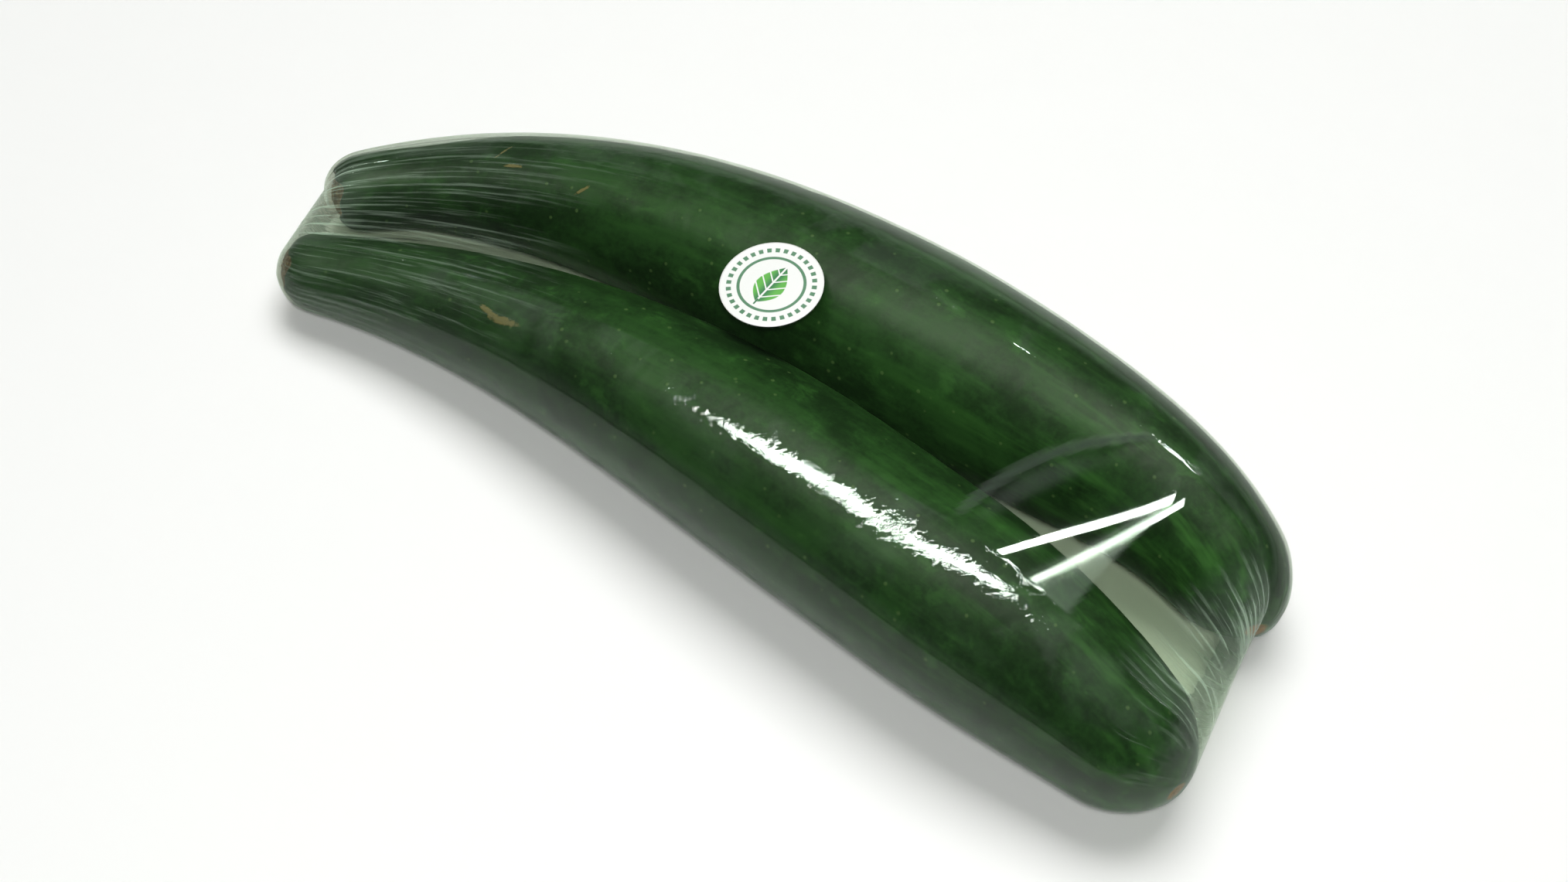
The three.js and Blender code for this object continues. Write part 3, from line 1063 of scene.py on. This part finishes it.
class BuildStage(Operator):
    """Adds the floor, the lights and the camera."""

    bl_idname = "cucumber_pack.stage"
    bl_label = "Stage"

    def execute(self, context):
        pack = context.scene.cucumber_pack
        stage = pack.stage
        scene = context.scene
        back = Vector((
            math.sin(stage.azimuth) * math.cos(stage.elevation),
            -math.cos(stage.azimuth) * math.cos(stage.elevation),
            math.sin(stage.elevation),
        ))
        camera = bpy.data.objects.new("camera", bpy.data.cameras.new("camera"))
        scene.collection.objects.link(camera)
        camera.location = TARGET + back * stage.camera_distance
        camera.rotation_mode = "QUATERNION"
        camera.rotation_quaternion = (-back).to_track_quat("-Z", "Y")
        camera.data.lens = stage.lens
        camera.data.sensor_width = 36
        camera.data.clip_start, camera.data.clip_end = 0.01, 50
        scene.camera = camera

        floor = mesh_piece("floor", *floor_grid(3.0, 24), floor_material(tuple(stage.floor_colour)))

        world = bpy.data.worlds.new("studio")
        scene.world = world
        g = Graph(world)
        direction = g.node("ShaderNodeTexCoord", output="Generated")
        parts = g.node("ShaderNodeSeparateXYZ", inputs={0: direction})
        towards_y = Value(g, parts.socket.node.outputs[1])
        upwards = Value(g, parts.socket.node.outputs[2])
        walls = upwards.step(0.30, 0.02) * (0.35 + towards_y.step(-0.4, 0.6) * 0.65)
        sky = g.mix(walls, (0.045, 0.055, 0.045), (0.72, 0.78, 0.72))
        light = g.node("ShaderNodeBackground", inputs={"Color": sky, "Strength": 1.0})
        g.surface(light, "ShaderNodeOutputWorld")

        across = Vector((1, 0, 0))
        for name, place, size, radiance in (
            ("key_lamp", Vector((-0.15, 0.45, 1.5)), (1.1, 0.8), 6.9),
            ("front_lamp", TARGET + back * 0.95 + Vector((-0.02, 0.03, 0.02)), (0.10, 0.10), 125.0),
        ):
            lamp = panel_lamp(name, place, TARGET, across, size, radiance)
            lamp.visible_glossy = False
        self.mirrored_lamps(film_shape(pack), camera.location)
        scene.view_settings.view_transform = "Standard"
        return {"FINISHED"}

    def mirrored_lamps(self, shape, eye):
        """Lamps placed so that the film mirrors them: on the front's crest and across the bridge."""

        def spot(along, column):
            """A vertex of the film and its outward direction."""
            row = int(np.argmin(np.abs(shape.front_at - along)))
            return Vector(shape.points[row, column]), Vector(shape.normals[row, column])

        def strip_lamp(name, start, end, aim, away, past, width, radiance):
            """A lamp that the film mirrors between two vertices, and a share more past the first."""
            one, two = (lit_from(*spot(*vertex), eye, away) for vertex in (start, end))
            one = one + (one - two) * past
            size = ((two - one).length, width)
            lamp = panel_lamp(name, (one + two) / 2, aim, two - one, size, radiance)
            lamp.visible_diffuse = False

        # A vertex is given by its distance along the front cucumber and its number in the loop.
        strip_lamp("crest_lamp", (143 * MM, 11), (216 * MM, 6), TARGET, 1.25, 0, 0.17, 56.0)
        near_front, near_back = OVER.stop - 2, OVER.start + 12
        for name, start_at, end_at, width in (
            ("bridge_lamp_1", 209 * MM, 217.5 * MM, 2.6 * MM),
            ("bridge_lamp_2", 219 * MM, 221.5 * MM, 2.4 * MM),
        ):
            start, end = (start_at, near_front), (end_at, near_back)
            strip_lamp(name, start, end, spot(*end)[0], 0.08, 0.12, width, 70.0)


def floor_grid(half, steps):
    """A level square of small squares, at height 0."""
    line = np.linspace(-half, half, steps)
    x, y = np.meshgrid(line, line, indexing="ij")
    points = np.stack([x, y, 0 * x], -1).reshape(-1, 3)
    return points, grid_faces(steps, steps, closed=False)


def floor_material(base):
    """Pale matte board with a faint grain."""
    material = bpy.data.materials.new("floor_board")
    g = Graph(material)
    spot = g.node("ShaderNodeTexCoord", output="Object")
    grain = g.noise(spot, 60, 4, 0.6)
    tone = g.mix(grain, tuple(0.985 * part for part in base), base)
    g.surface(g.principled(Base_Color=tone, Roughness=0.75 + grain * 0.1, Specular_IOR_Level=0.2))
    return material


class CucumberPackPanel(Panel):
    """Lists the pieces of the pack and their sizes."""

    bl_idname = "VIEW3D_PT_cucumber_pack"
    bl_label = "Cucumber Pack"
    bl_space_type = "VIEW_3D"
    bl_region_type = "UI"
    bl_category = "Cucumber Pack"

    def draw(self, context):
        for operator in OPERATORS:
            self.layout.operator(operator.bl_idname)
        pack = context.scene.cucumber_pack
        for group in (pack.front, pack.back, pack.skin, pack.film, pack.label, pack.stage):
            box = self.layout.box()
            for name in group.__annotations__:
                box.prop(group, name)


GROUPS = (FrontCucumber, BackCucumber, SkinFinish, Film, Label, Stage, CucumberPack)
OPERATORS = (BuildCucumbers, BuildFilm, BuildLabel, BuildStage)


def register():
    for kind in (*GROUPS, *OPERATORS, CucumberPackPanel):
        bpy.utils.register_class(kind)
    bpy.types.Scene.cucumber_pack = PointerProperty(type=CucumberPack)


def unregister():
    del bpy.types.Scene.cucumber_pack
    for kind in reversed((*GROUPS, *OPERATORS, CucumberPackPanel)):
        bpy.utils.unregister_class(kind)


def main():
    """Builds every piece and keeps the CAD model's box and the visual model's box."""
    register()
    bpy.ops.cucumber_pack.cucumbers()
    bpy.ops.cucumber_pack.film()
    bpy.ops.cucumber_pack.label()
    bpy.ops.cucumber_pack.stage()


if __name__ == "__main__":
    main()
